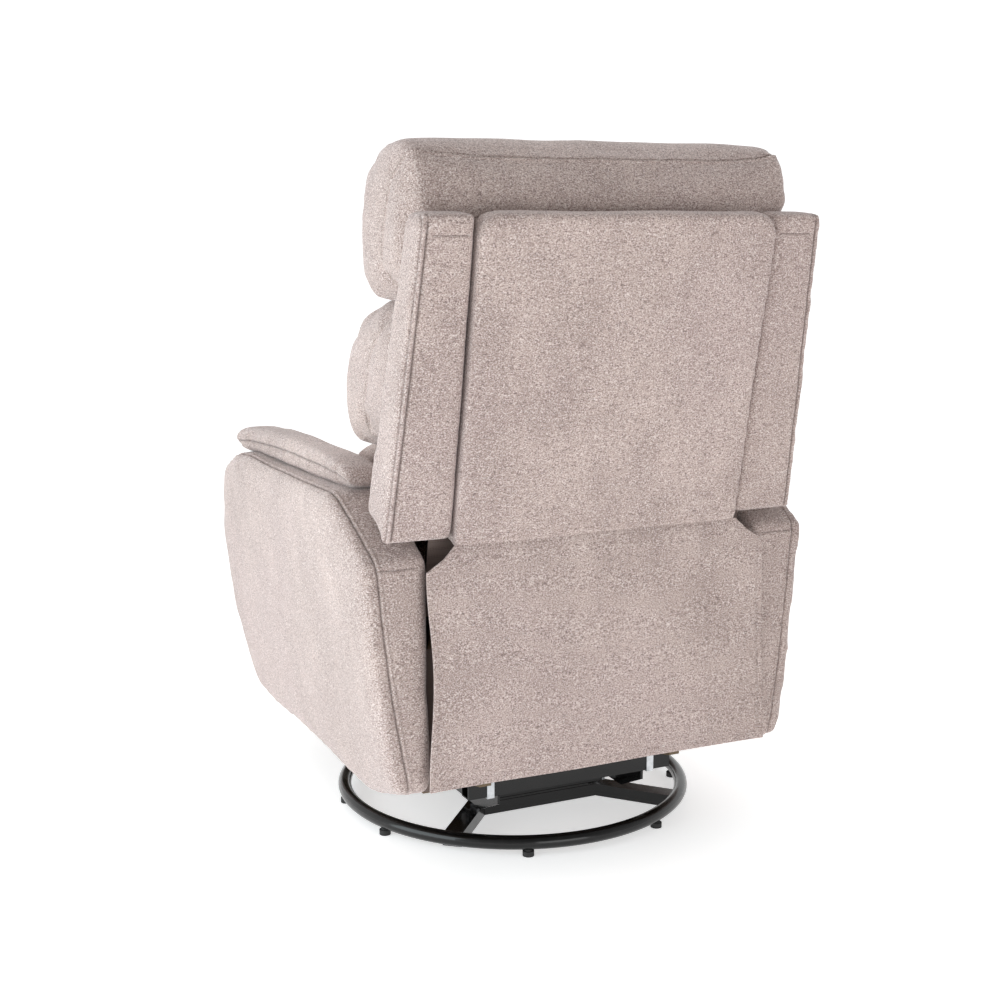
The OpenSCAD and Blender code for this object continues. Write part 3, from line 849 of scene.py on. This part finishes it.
@dataclass
class Cushion:
    """A padded piece made from its CAD solid: remeshed, rounded, swollen by cloth pressure and sewn."""

    node: str
    body: str
    fill: float = 0.7
    voxel: float = 0.008
    rounding: int = 14
    pressure: float = 5.0
    cap: float = 0.014
    wave: float = 0.0012
    wave_length: float = 0.16
    seed: float = 1.0
    hollow: bool = False
    shape: Optional[Callable[[np.ndarray], np.ndarray]] = None
    limit: Optional[Callable[[np.ndarray], np.ndarray]] = None
    finish: Finish = Finish.PLUSH
    piece: Optional[bpy.types.Object] = field(default=None, init=False)
    rows: list = field(default_factory=list, init=False)

    def block(self) -> None:
        """Copies the CAD solid and turns it into an even, rounded skin."""
        self.piece = copy_of_node(self.node, f"{self.node}_soft")
        if self.hollow:
            keep_outer_shell(self.piece)
        apply_modifier(self.piece, "REMESH", mode="VOXEL", voxel_size=self.voxel)
        apply_modifier(self.piece, "SMOOTH", factor=0.5, iterations=self.rounding)

    def swell(self) -> None:
        """Inflates the skin by a cloth simulation, with each point's move capped."""
        start = coords(self.piece)
        if self.cap > 0:
            choose_only(self.piece)
            cloth = self.piece.modifiers.new("Swell", "CLOTH")
            cloth.settings.quality = 3
            cloth.settings.mass = 0.25
            cloth.settings.tension_stiffness = 12
            cloth.settings.compression_stiffness = 12
            cloth.settings.shear_stiffness = 5
            cloth.settings.bending_stiffness = 1.2
            cloth.settings.use_pressure = True
            cloth.settings.uniform_pressure_force = self.pressure
            cloth.settings.effector_weights.gravity = 0
            cloth.collision_settings.use_collision = False
            scene = bpy.context.scene
            for step in range(1, 16):
                scene.frame_set(step)
            held = self.piece.evaluated_get(bpy.context.evaluated_depsgraph_get())
            swollen = coords(held)
            self.piece.modifiers.remove(cloth)
            scene.frame_set(1)
            move = swollen - start
            far = np.linalg.norm(move, axis=1, keepdims=True)
            move *= np.minimum(1, self.cap / np.maximum(far, 1e-9))
            set_coords(self.piece, start + move)
        apply_modifier(self.piece, "SMOOTH", factor=0.5, iterations=2)

    def settle(self) -> None:
        """Adds gentle undulation and the piece's own shape, and keeps it clear of its neighbours."""
        places = coords(self.piece)
        facing = normals(self.piece)
        places += facing * (undulation(places, self.wave_length, self.seed) * self.wave)[:, None]
        if self.shape:
            places = self.shape(places)
        if self.limit:
            places = self.limit(places)
        set_coords(self.piece, places)

    def build(self) -> bpy.types.Object:
        """Makes the skin and returns it."""
        self.block()
        self.swell()
        self.settle()
        apply_modifier(self.piece, "SUBSURF", levels=1, render_levels=1)
        return self.piece

    def seam(self, points: Sequence[Sequence[float]], style: SeamStyle = LAPPED, flip: bool = False,
             closed: bool = False, rows: Sequence[float] = ()) -> Thread:
        """Sews a seam along points near the surface, with rows of topstitches beside it."""
        thread = lay_thread(self.piece, points, closed)
        sew(self.piece, thread, style, flip)
        side = -1 if flip else 1
        for offset in rows:
            row = stitch_row(f"{self.node}_stitches_{len(self.rows) + 1}", thread, offset * side)
            self.rows.append(row)
        return thread

    def dress(self, piece: Optional[bpy.types.Object] = None, node: Optional[str] = None) -> None:
        piece = piece or self.piece
        paint_all(piece, self.finish)
        smooth_shade(piece)
        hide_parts(node or self.node)
        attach(piece, self.body)
        for row in self.rows if piece == self.piece else []:
            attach(row, self.body)
        LOG.info("%s: %d faces", piece.name, len(piece.data.polygons))


# ---------------------------------------------------------------- the chair's soft sub-assemblies


@dataclass
class BackLean:
    """The back's own frame: s runs up the rear panel from its lower edge, and n out of its rear face."""

    base_y: float = 0.362
    base_z: float = 0.496
    lean: float = math.radians(11.2)

    def at(self, s: float, n: float, x: float = 0.0) -> tuple:
        """A point in the chair's frame."""
        return (x, self.base_y + s * math.sin(self.lean) + n * math.cos(self.lean),
                self.base_z + s * math.cos(self.lean) - n * math.sin(self.lean))

    def local(self, places: np.ndarray) -> tuple:
        """The s and n of points."""
        dy = places[:, 1] - self.base_y
        dz = places[:, 2] - self.base_z
        return (dy * math.sin(self.lean) + dz * math.cos(self.lean),
                dy * math.cos(self.lean) - dz * math.sin(self.lean))


LEAN = BackLean()


@dataclass
class Pillows:
    """The three stacked pillows of the back."""

    def build(self) -> None:
        """Makes the head, middle and lumbar pillows."""
        head = Cushion("head_pillow", "back", cap=0.010, rounding=9, seed=2.0)
        head.build()
        side = [(0.318, 0.836), (0.303, 0.845), (0.289, 0.871), (0.285, 0.899), (0.288, 0.928),
                (0.294, 0.951), (0.311, 0.986), (0.329, 1.015)]
        over = [(0.300, y, z) for y, z in side]
        over += [(0.293, 0.350, 1.036), (0.272, 0.366, 1.045), (0.236, 0.371, 1.047)]
        over += [(x, 0.371, 1.047) for x in (0.16, 0.08, 0.0)]
        loop = over + [(-x, y, z) for x, y, z in reversed(over[:-1])]
        head.seam(loop, LAPPED, rows=(0.004,))
        head.dress()
        middle = Cushion("mid_pillow", "back", cap=0.010, rounding=12, seed=3.0)
        middle.build()
        side = [(0.284, 0.816), (0.228, 0.776), (0.210, 0.755), (0.201, 0.729), (0.182, 0.686),
                (0.162, 0.644), (0.164, 0.619), (0.188, 0.605)]
        for hand in Side:
            points = [(0.290 * hand.value, y, z) for y, z in side]
            middle.seam(points, LAPPED, flip=hand is Side.LEFT, rows=(0.004,))
        middle.dress()
        lumbar = Cushion("lumbar_pillow", "back", cap=0.008, rounding=12, seed=4.0)
        lumbar.build()
        side = [(0.150, 0.612), (0.120, 0.585), (0.112, 0.550), (0.125, 0.510), (0.150, 0.485)]
        for hand in Side:
            points = [(0.266 * hand.value, y, z) for y, z in side]
            lumbar.seam(points, LAPPED, flip=hand is Side.LEFT)
        lumbar.dress()


@dataclass
class Wings:
    """The two side wings of the back, each with a twin-stitched seam beside its outer rear edge."""

    seam_low: float = 0.331
    seam_high: float = 0.306

    def seam_x(self, s: float) -> float:
        """The seam's distance from the centre plane at a height along the back."""
        return self.seam_low + (self.seam_high - self.seam_low) * s / 0.474

    def build(self) -> None:
        """Makes the left wing and mirrors it."""
        wing = Cushion("wing_left", "back", voxel=0.006, rounding=12, cap=0.0, wave=0.0009, seed=5.0,
                       shape=self.widen)
        wing.build()
        heights = (0.014, 0.05, 0.11, 0.18, 0.25, 0.32, 0.39, 0.44)
        edge = [LEAN.at(s, 0.0, self.seam_x(s)) for s in heights]
        edge += [LEAN.at(0.461, -0.003, self.seam_x(0.46)), LEAN.at(0.470, -0.014, self.seam_x(0.47))]
        wing.seam(edge, TWIN, flip=True)
        wing.seam([LEAN.at(0.444, 0.0, x) for x in (0.298, 0.28, 0.262, 0.246)], HEM)
        right = mirrored(wing.piece, "wing_right_soft")
        wing.dress()
        wing.dress(right, "wing_right")

    @staticmethod
    def widen(places: np.ndarray) -> np.ndarray:
        """Pushes the inner wall back to its place beside the panel, where rounding drew it away."""
        out = places.copy()
        _, n = LEAN.local(places)
        inner = np.clip((0.262 - out[:, 0]) / 0.025, 0, 1) * np.clip((-0.006 - n) / 0.006, 0, 1)
        out[:, 0] -= 0.0015 * inner
        return out


@dataclass
class RearPanel:
    """The flat rear panel of the back."""

    def build(self) -> None:
        """Makes the panel with a slight crown."""
        panel = Cushion("back_panel", "back", voxel=0.006, rounding=4, cap=0.0, wave=0.0012,
                        wave_length=0.24, seed=6.0)
        panel.build()
        panel.dress()


@dataclass
class Arms:
    """Both arms: the boxed arm with its flared, bulging outer face, and the pad on top."""

    flare_z: tuple = (0.080, 0.136, 0.200, 0.250, 0.300, 0.350, 0.400, 0.460, 0.520, 0.570)
    flare_x: tuple = (0.320, 0.329, 0.3395, 0.3475, 0.3545, 0.3605, 0.3655, 0.371, 0.375, 0.377)
    toe: float = math.radians(1.4)

    def outer(self, y: float, z: float) -> float:
        """The outer face's distance from the centre plane."""
        return float(np.interp(z, self.flare_z, self.flare_x)) - (0.350 - y) * math.tan(self.toe)

    def build(self) -> None:
        """Makes the arms and their pads."""
        arm = self.arm()
        right = mirrored(arm.piece, "arm_right_soft")
        arm.dress()
        arm.dress(right, "arm_right")
        pad = Cushion("arm_pad_left", "carriage", voxel=0.006, rounding=6, cap=0.004, seed=8.0)
        pad.build()
        side = [(0.214, 0.574), (0.15, 0.580), (0.02, 0.581), (-0.10, 0.580), (-0.22, 0.575),
                (-0.31, 0.568), (-0.352, 0.563)]
        pad.seam([(0.342, y, z) for y, z in side], LAPPED)
        right = mirrored(pad.piece, "arm_pad_right_soft")
        pad.dress()
        pad.dress(right, "arm_pad_right")

    def arm(self) -> Cushion:
        """Makes the left arm, with a welted seam round its outer face and one across its rear face."""
        arm = Cushion("arm_left", "carriage", voxel=0.009, rounding=8, cap=0.004, wave=0.0015,
                      wave_length=0.3, seed=10.0, hollow=True)
        arm.build()
        rim = [(-0.386, 0.1, 0.008), (-0.42, 0.149, 0.01), (-0.455, 0.234, 0.012),
               (-0.455, 0.398, 0.012), (-0.397, 0.513, 0.012), (-0.33, 0.547, 0.012),
               (-0.255, 0.557, 0.012), (-0.12, 0.559, 0.012), (0.013, 0.56, 0.012),
               (0.12, 0.562, 0.012), (0.212, 0.562, 0.013), (0.283, 0.531, 0.017),
               (0.35, 0.492, 0.021), (0.363, 0.47, 0.022), (0.365, 0.4, 0.022),
               (0.368, 0.3, 0.022), (0.373, 0.2, 0.022), (0.373, 0.15, 0.022),
               (0.34, 0.118, 0.016), (0.232, 0.096, 0.008), (0.0, 0.093, 0.006),
               (-0.2, 0.092, 0.006)]
        points = [(self.outer(y, z) - inset, y, z) for y, z, inset in rim]
        arm.seam(points, LAPPED, flip=True, closed=True)
        across = [(x, 0.366, 0.472) for x in (0.346, 0.33, 0.31, 0.29)]
        arm.seam(across, HEM)
        return arm


@dataclass
class SeatCushion:
    """The seat cushion between the arms."""

    def build(self) -> None:
        """Makes the crowned seat cushion with a welt round its front and top."""
        seat = Cushion("seat_cushion", "carriage", voxel=0.009, rounding=12, cap=0.010, seed=12.0)
        seat.build()
        across = (-0.255, -0.15, -0.05, 0.05, 0.15, 0.255)
        seat.seam([(x, -0.404, 0.468) for x in across], LAPPED, rows=(0.004,))
        seat.dress()


@dataclass
class FootrestPad:
    """The padded front board that becomes the footrest."""

    def build(self) -> None:
        """Makes the pad."""
        pad = Cushion("footrest_pad", "footrest", voxel=0.008, rounding=8, cap=0.006, seed=13.0)
        pad.build()
        across = (-0.25, -0.15, -0.05, 0.05, 0.15, 0.25)
        pad.seam([(x, -0.442, 0.222) for x in across], LAPPED, rows=(0.004,))
        pad.dress()


@dataclass
class RearFlap:
    """The fabric curtain that hangs from the rear panel's lower edge, with hems at its free edges."""

    low_z: float = 0.147
    high_z: float = 0.4945
    half_low: float = 0.285
    half_high: float = 0.282
    corner_z: float = 0.465
    corner_half: float = 0.235
    y_low: float = 0.383
    y_high: float = 0.369
    thick: float = 0.004

    def edge(self, z: float, hand: Side) -> float:
        """The X of a free edge at a height, which bows inward halfway up."""
        share = (z - self.low_z) / (self.corner_z - self.low_z)
        bow = (0.009 if hand is Side.LEFT else 0.003) * math.sin(math.pi * share) ** 2
        return (self.half_low + (self.half_high - self.half_low) * share - bow) * hand.value

    def build(self) -> None:
        """Makes the curtain from a plane that is cut to its outline and thickened."""
        bpy.ops.object.select_all(action="DESELECT")
        bpy.ops.mesh.primitive_grid_add(x_subdivisions=96, y_subdivisions=60, size=1.0)
        piece = bpy.context.object
        piece.name = "rear_flap_cloth"
        places = coords(piece)
        u, v = places[:, 0] * 2, places[:, 1] + 0.5
        z = self.low_z + (self.high_z - self.low_z) * v
        share = (z - self.low_z) / (self.corner_z - self.low_z)
        bow = np.where(u > 0, 0.009, 0.003) * np.sin(math.pi * np.clip(share, 0, 1)) ** 2
        half = self.half_low + (self.half_high - self.half_low) * share - bow
        climb = (z - self.corner_z) / (self.high_z - self.corner_z)
        cut = self.half_high + (self.corner_half - self.half_high) * climb
        half = np.where(z > self.corner_z, cut, half)
        x = u * half
        hang = np.clip(1 - v, 0, 1)
        y = self.y_low + (self.y_high - self.y_low) * v
        y += 0.0022 * hang * undulation(np.stack([x, y, z], 1), 0.26, 3.3)
        y += 0.002 * hang * np.abs(u) ** 6
        tuck = np.clip((v - 0.965) / 0.035, 0, 1)
        y -= 0.0035 * tuck
        z = z + 0.0060 * tuck
        set_coords(piece, np.stack([x, y, z], axis=1))
        apply_modifier(piece, "SOLIDIFY", thickness=self.thick, offset=-1.0)
        choose_only(piece)
        bpy.ops.object.mode_set(mode="EDIT")
        bpy.ops.mesh.select_all(action="SELECT")
        bpy.ops.mesh.normals_make_consistent(inside=False)
        bpy.ops.object.mode_set(mode="OBJECT")
        apply_modifier(piece, "BEVEL", width=0.0012, segments=2, limit_method="ANGLE",
                       angle_limit=math.radians(50))
        for hand in Side:
            side = [(self.edge(z, hand) - 0.010 * hand.value, self.y_low + 0.003, z)
                    for z in (0.158, 0.21, 0.26, 0.31, 0.36, 0.41, 0.458)]
            sew(piece, lay_thread(piece, side), HEM, flip=hand is Side.RIGHT, rounds=1)
        bottom = [(x, self.y_low + 0.003, self.low_z + 0.013) for x in (-0.27, -0.13, 0.0, 0.13, 0.27)]
        sew(piece, lay_thread(piece, bottom), HEM, rounds=1)
        paint_all(piece, Finish.PLUSH)
        smooth_shade(piece, 40)
        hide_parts("rear_flap")
        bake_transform(piece)
        LOG.info("rear flap: %d faces", len(piece.data.polygons))


@dataclass
class LiningsAndPaintedShade:
    """Dark linings that close the open corners: one on the back and one across the seat box. They are
    lining cloth as real chairs have, and also dark sheets put where the gaps show only shade, as painted
    shade.
    """

    thick: float = 0.0008

    def build(self) -> None:
        """Makes both linings."""
        # Painted shade: dark sheets that fill the gaps behind the flap, arms and wings with shade, where
        # real chairs have a lining.
        wide, narrow, top = 0.262, 0.2362, 0.441
        outline = [(-wide, -0.118), (wide, -0.118), (wide, 0.003), (narrow, 0.006), (narrow, top),
                   (-narrow, top), (-narrow, 0.006), (-wide, 0.003)]
        low, high = LEAN.at(0, -0.0294), LEAN.at(1, -0.0294)
        rise = Vector(high) - Vector(low)
        corners = [Vector((x, low[1], low[2])) + rise * s for x, s in outline]
        back = self.sheet("back_lining_and_shade", corners, "back")
        edge, clear, foot, top, ear = 0.2705, 0.253, 0.127, 0.300, 0.343
        corners = [(-edge, foot), (edge, foot), (edge, ear), (clear, ear), (clear, top),
                   (-clear, top), (-clear, ear), (-edge, ear)]
        seat = self.sheet("seat_lining_and_shade", [Vector((x, 0.3312, z)) for x, z in corners], "carriage")

    def sheet(self, name: str, corners: Sequence[Vector], body: str) -> bpy.types.Object:
        """Makes a flat sheet from its corners and gives it a thickness.

        Args:
            name: The piece's name.
            corners: The outline, in order.
            body: The body that the sheet rides on.

        Returns:
            The sheet.
        """
        mesh = bpy.data.meshes.new(name)
        mesh.from_pydata([tuple(c) for c in corners], [], [list(range(len(corners)))])
        piece = bpy.data.objects.new(name, mesh)
        bpy.context.scene.collection.objects.link(piece)
        apply_modifier(piece, "SOLIDIFY", thickness=self.thick, offset=0.0)
        choose_only(piece)
        bpy.ops.object.mode_set(mode="EDIT")
        bpy.ops.mesh.select_all(action="SELECT")
        bpy.ops.mesh.normals_make_consistent(inside=False)
        bpy.ops.object.mode_set(mode="OBJECT")
        paint_all(piece, Finish.LINING_AND_SHADE)
        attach(piece, body)
        return piece


@dataclass
class Metalwork:
    """The CAD nodes that stay, in their finishes."""

    def build(self) -> None:
        """Paints each CAD node by the record's slots."""
        slots = {row["node"]: row["material_slot"] for row in frame["record"]["subparts"]}
        for name, node in frame["nodes"].items():
            paint_all(node, SLOT_FINISH[slots[name]])
        LOG.info("painted %d nodes", len(frame["nodes"]))


# ---------------------------------------------------------------- studio


@dataclass
class Studio:
    """Floor, world, lights and camera."""

    camera_at: tuple = (1.1064, 2.3461, 0.9589)
    aim: tuple = (0.0118, 0.0454, 0.4950)
    lens: float = 56.4

    def build(self) -> None:
        """Makes the studio around the chair."""
        self.floor()
        self.world()
        self.lamp("key", (1.45, 0.35, 0.42), (0.30, 0.05, 0.34), 1.2, 13.0, (0.84, 0.96, 1.0))
        self.lamp("fill", (-0.10, 1.95, 0.25), (0.0, 0.38, 0.45), 1.0, 7.0, (1.0, 1.0, 1.0))
        self.lamp("top", (0.2, -0.9, 2.6), (0.0, 0.0, 0.5), 1.6, 16.0, (1.0, 1.0, 1.0))
        self.camera()

    def floor(self) -> None:
        """Lays the floor."""
        bpy.ops.object.select_all(action="DESELECT")
        bpy.ops.mesh.primitive_plane_add(size=40)
        floor = bpy.context.object
        floor.name = "floor"
        paint_all(floor, Finish.FLOOR)

    def world(self) -> None:
        """Lights the scene from all round, less from behind and above, and whites out the background."""
        world = bpy.data.worlds.new("studio")
        world.use_nodes = True
        bench = Bench(world.node_tree)
        way_x, way_y, way_z = bench.split(bench.node("ShaderNodeTexCoord").outputs["Generated"])
        dim = bench.clip(way_y * 0.8 + way_z * 0.45) * 0.62 + bench.clip((way_z - 0.15) * 1.2) * 0.45
        strength = 1.12 - dim + bench.clip(way_x) * 0.1
        background = bench.tree.nodes["Background"]
        background.inputs["Color"].default_value = (1, 1, 1, 1)
        bench.join(strength, background.inputs["Strength"])
        bpy.context.scene.world = world

    def lamp(self, name: str, at: tuple, aim: tuple, size: float, power: float, colour: tuple) -> None:
        """Adds a large square lamp that the camera doesn't see.

        Args:
            name: The lamp's name.
            at: Where it stands.
            aim: The point it faces.
            size: Its side.
            power: Its power in watts.
            colour: Its colour.
        """
        light = bpy.data.lights.new(name, "AREA")
        light.energy = power
        light.color = colour
        light.size = size
        lamp = bpy.data.objects.new(name, light)
        lamp.location = at
        lamp.rotation_euler = (Vector(aim) - Vector(at)).to_track_quat("-Z", "Y").to_euler()
        lamp.visible_camera = False
        bpy.context.scene.collection.objects.link(lamp)

    def camera(self) -> None:
        """Sets the camera and the plain tone curve."""
        data = bpy.data.cameras.new("camera")
        data.lens = self.lens
        data.sensor_width = 36
        data.clip_end = 100
        camera = bpy.data.objects.new("camera", data)
        camera.location = self.camera_at
        sight = Vector(self.aim) - Vector(self.camera_at)
        camera.rotation_euler = sight.to_track_quat("-Z", "Y").to_euler()
        bpy.context.scene.collection.objects.link(camera)
        bpy.context.scene.camera = camera
        bpy.context.scene.view_settings.view_transform = "Standard"


def main() -> None:
    """Builds the chair's sub-assemblies in order."""
    assemblies = (Studio(), Metalwork(), Pillows(), Wings(), RearPanel(), Arms(), SeatCushion(),
                  FootrestPad(), RearFlap(), LiningsAndPaintedShade())
    for assembly in assemblies:
        assembly.build()
        LOG.info("%s done", type(assembly).__name__)


if __name__ == "__main__":
    main()
